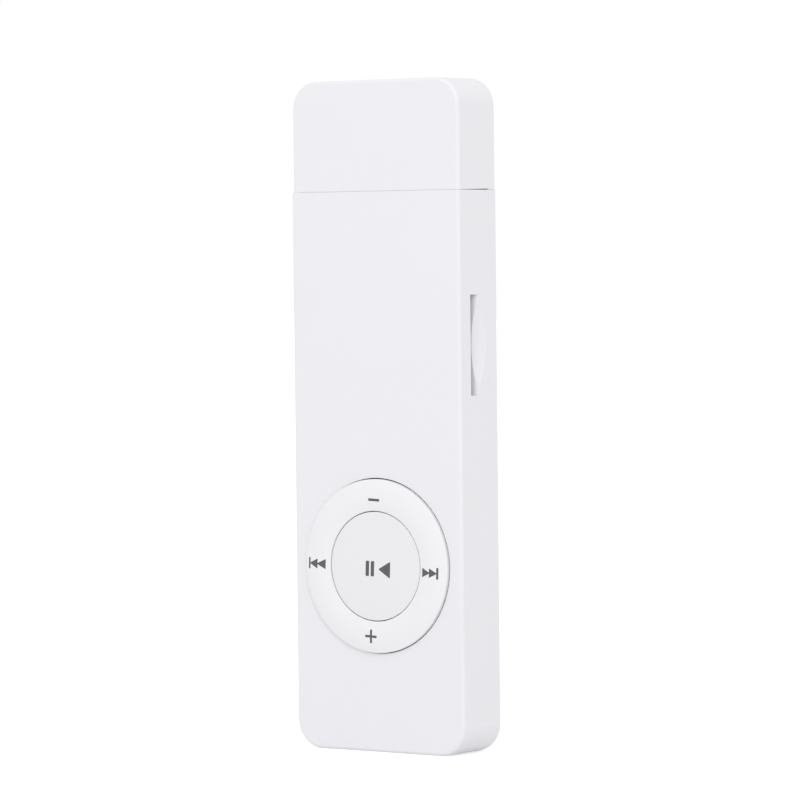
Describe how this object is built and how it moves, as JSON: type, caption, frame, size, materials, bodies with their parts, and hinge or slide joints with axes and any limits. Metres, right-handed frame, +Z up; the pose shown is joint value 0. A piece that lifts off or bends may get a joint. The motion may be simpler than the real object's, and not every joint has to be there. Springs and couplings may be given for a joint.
{
  "type": "digital audio player",
  "caption": "Flat stick-shaped pocket music player with a pull-off cap over a computer plug, a round rocker pad with a centre button, and a memory-card slot.",
  "frame": {"origin": "centre of the flat bottom face, half way through the thickness", "axes": "+X towards the side with the card slot, -Y out of the front with the control pad, +Z up the player towards the cap"},
  "size_m": [0.0256, 0.009, 0.084],
  "materials": {
    "case_plastic": "satin-gloss moulded",
    "cover_plastic": "satin-gloss moulded",
    "cap_plastic": "satin-gloss moulded",
    "collar_plastic": "satin moulded",
    "ring_plastic": "satin-gloss moulded, grey printed symbols",
    "button_plastic": "satin moulded, grey printed symbol",
    "plug_steel": "nickel-plated sheet",
    "tongue_plastic": "moulded white",
    "contact_gold": "gold-plated",
    "contact_tin": "tin-plated",
    "spring_steel": "rolled sheet",
    "seat_plastic": "moulded",
    "switch_steel": "plated",
    "stem_plastic": "moulded",
    "board_laminate": "green solder mask",
    "screw_steel": "plated",
    "chip_epoxy": "moulded epoxy",
    "crystal_can": "plated can",
    "ferrite": "ferrite",
    "capacitor_ceramic": "ceramic with tinned ends",
    "resistor_ceramic": "ceramic with tinned ends",
    "socket_plastic": "moulded",
    "socket_steel": "plated sheet",
    "jack_plastic": "moulded",
    "cell_foil": "laminated foil",
    "tape_foam": "adhesive foam",
    "lead_red": "insulated wire",
    "lead_black": "insulated wire"
  },
  "bodies": {
    "player": {"amplifier_chip": "chip_epoxy", "back_cover": "cover_plastic", "battery_cell": "cell_foil", "battery_guard_board": "board_laminate", "battery_lead_negative": "lead_black", "battery_lead_positive": "lead_red", "battery_tape": "tape_foam", "board_screws": "screw_steel", "card_socket_base": "socket_plastic", "card_socket_contacts": "contact_gold", "card_socket_shell": "socket_steel", "chip_capacitors": "capacitor_ceramic", "chip_resistors": "resistor_ceramic", "circuit_board": "board_laminate", "clock_crystal": "crystal_can", "controller_chip": "chip_epoxy", "flash_chip": "chip_epoxy", "front_case": "case_plastic", "headphone_jack_body": "jack_plastic", "headphone_jack_contacts": "contact_tin", "pad_pivot_seat": "seat_plastic", "plug_collar": "collar_plastic", "plug_contacts": "contact_gold", "plug_shell": "plug_steel", "plug_tongue": "tongue_plastic", "power_inductor": "ferrite", "regulator_chip": "chip_epoxy", "switch_bodies": "switch_steel"},
    "cap": {"cap": "cap_plastic"},
    "play_button": {"play_button": "button_plastic"},
    "pad_gimbal": {"pad_gimbal_plate": "spring_steel"},
    "control_ring": {"control_ring": "ring_plastic"},
    "play_switch_stem": {"play_switch_stem": "stem_plastic"},
    "up_switch_stem": {"up_switch_stem": "stem_plastic"},
    "down_switch_stem": {"down_switch_stem": "stem_plastic"},
    "left_switch_stem": {"left_switch_stem": "stem_plastic"},
    "right_switch_stem": {"right_switch_stem": "stem_plastic"}
  },
  "joints": [
    {"name": "cap_slide", "type": "slide", "parent": "player", "child": "cap", "axis": [0, 0, 1], "range_m": [0, 0.02]},
    {"name": "play_press", "type": "slide", "parent": "player", "child": "play_button", "axis": [0, 1, 0], "range_m": [0, 0.00028], "stiffness_N_per_m": 1500},
    {"name": "track_tilt", "type": "hinge", "parent": "player", "child": "pad_gimbal", "pos_m": [0, -0.00128, 0.02335], "axis": [0, 0, 1], "range_deg": [-1.3, 1.3], "stiffness_Nm_per_rad": 0.35},
    {"name": "volume_tilt", "type": "hinge", "parent": "pad_gimbal", "child": "control_ring", "pos_m": [0, -0.00202, 0.02335], "axis": [1, 0, 0], "range_deg": [-1.3, 1.3], "stiffness_Nm_per_rad": 0.35},
    {"name": "play_switch_press", "type": "slide", "parent": "player", "child": "play_switch_stem", "axis": [0, 1, 0], "range_m": [0, 0.00028]},
    {"name": "right_switch_press", "type": "slide", "parent": "player", "child": "right_switch_stem", "axis": [0, 1, 0], "range_m": [-0.00021, 0.00021]},
    {"name": "left_switch_press", "type": "slide", "parent": "player", "child": "left_switch_stem", "axis": [0, 1, 0], "range_m": [-0.00021, 0.00021]},
    {"name": "up_switch_press", "type": "slide", "parent": "player", "child": "up_switch_stem", "axis": [0, 1, 0], "range_m": [-0.00021, 0.00021]},
    {"name": "down_switch_press", "type": "slide", "parent": "player", "child": "down_switch_stem", "axis": [0, 1, 0], "range_m": [-0.00021, 0.00021]}
  ],
  "couplings": [
    {"joint": "play_switch_press", "follows": "play_press", "ratio": 1},
    {"joint": "right_switch_press", "follows": "track_tilt", "m_per_rad": 0.009},
    {"joint": "left_switch_press", "follows": "track_tilt", "m_per_rad": -0.009},
    {"joint": "up_switch_press", "follows": "volume_tilt", "m_per_rad": -0.009},
    {"joint": "down_switch_press", "follows": "volume_tilt", "m_per_rad": 0.009}
  ]
}
